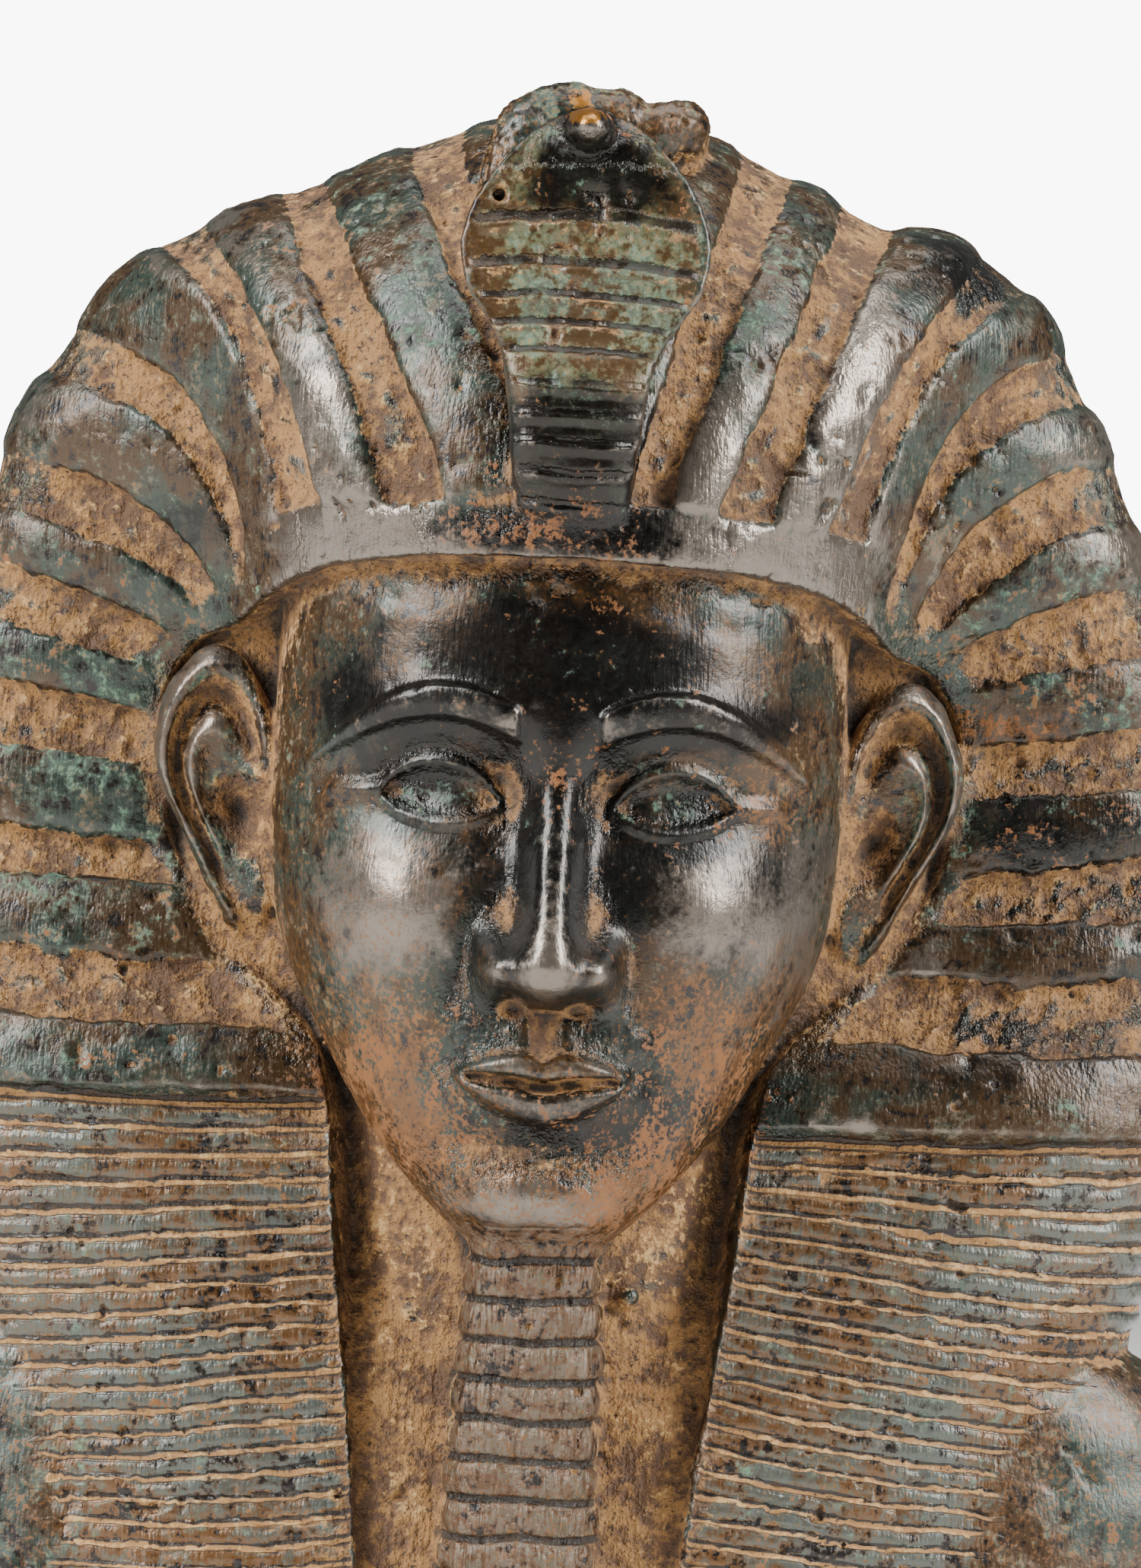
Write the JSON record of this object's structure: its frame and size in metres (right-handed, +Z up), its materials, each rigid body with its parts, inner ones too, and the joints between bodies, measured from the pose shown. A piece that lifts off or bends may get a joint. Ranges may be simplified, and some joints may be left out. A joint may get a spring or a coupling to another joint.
{
  "type": "bronze pharaoh bust",
  "caption": "Cast bronze bust of a pharaoh in a striped headdress with a rearing cobra, false beard and ribbed lappets, cut flat below the shoulders.",
  "frame": {"origin": "middle of the flat underside, below the crown of the headdress", "axes": "+Z up, the face looks along -Y, +X towards the right of someone who faces the bust"},
  "size_m": [0.2278, 0.1382, 0.2882],
  "materials": {
    "patinated_bronze": "old cast bronze: near-black patina with a cool sheen on raised forms, ochre dust in the carving, rust and green patches"
  },
  "bodies": {
    "root": {"pharaoh_bust": "patinated_bronze"}
  },
  "joints": []
}
